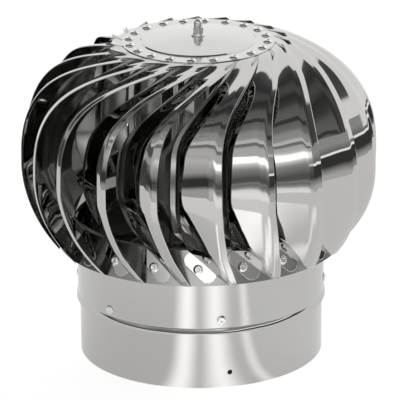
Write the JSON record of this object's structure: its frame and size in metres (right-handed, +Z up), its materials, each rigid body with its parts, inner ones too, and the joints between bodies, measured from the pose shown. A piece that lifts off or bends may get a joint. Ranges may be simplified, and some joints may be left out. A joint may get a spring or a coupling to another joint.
{
  "type": "chimney cowl",
  "caption": "Wind-driven ball cowl of curved, polished vanes that spins on a shaft above a round flue neck.",
  "frame": {"origin": "centre of the neck's bottom rim, on the spin axis", "axes": "+Z up along the spin axis, -Y towards the picture's viewer, +X to the viewer's right"},
  "size_m": [0.2918, 0.2918, 0.2806],
  "materials": {
    "polished_stainless": "mirror-polished stainless sheet",
    "bright_rivet": "bright, lightly dulled",
    "plain_stainless": "cold-rolled, satin",
    "turned_steel": "turned, satin",
    "bright_hardware": "bright plated",
    "spring_steel": "oiled black",
    "bearing_steel": "ground bright"
  },
  "bodies": {
    "neck": {"flue_spigot": "polished_stainless", "neck_sleeve": "polished_stainless", "strap_1": "plain_stainless", "strap_2": "plain_stainless", "strap_3": "plain_stainless", "neck_rivets": "bright_rivet", "bearing_housing": "turned_steel", "housing_washer": "turned_steel", "housing_nut": "turned_steel", "housing_circlip": "spring_steel", "lower_bearing_outer": "bearing_steel", "upper_bearing_outer": "bearing_steel", "outer_spacer": "turned_steel"},
    "rotor": {"lower_bearing_inner": "bearing_steel", "lower_bearing_balls": "bearing_steel", "upper_bearing_inner": "bearing_steel", "upper_bearing_balls": "bearing_steel", "inner_spacer": "turned_steel", "shaft": "turned_steel", "shaft_circlip": "spring_steel", "dust_cap": "plain_stainless", "cap_clip": "spring_steel", "hub": "turned_steel", "stiffener_plate": "plain_stainless", "top_disc": "polished_stainless", "top_washer": "bright_hardware", "spring_washer": "bright_hardware", "cap_nut": "bright_hardware", "lower_ring": "polished_stainless", "disc_rivets": "bright_rivet", "ring_rivets": "bright_rivet", "vane_01": "polished_stainless", "vane_02": "polished_stainless", "vane_03": "polished_stainless", "vane_04": "polished_stainless", "vane_05": "polished_stainless", "vane_06": "polished_stainless", "vane_07": "polished_stainless", "vane_08": "polished_stainless", "vane_09": "polished_stainless", "vane_10": "polished_stainless", "vane_11": "polished_stainless", "vane_12": "polished_stainless", "vane_13": "polished_stainless", "vane_14": "polished_stainless", "vane_15": "polished_stainless", "vane_16": "polished_stainless", "vane_17": "polished_stainless", "vane_18": "polished_stainless", "vane_19": "polished_stainless", "vane_20": "polished_stainless"}
  },
  "joints": [
    {"name": "rotor_spin", "type": "hinge", "parent": "neck", "child": "rotor", "pos_m": [0, 0, 0], "axis": [0, 0, 1], "continuous": true}
  ]
}
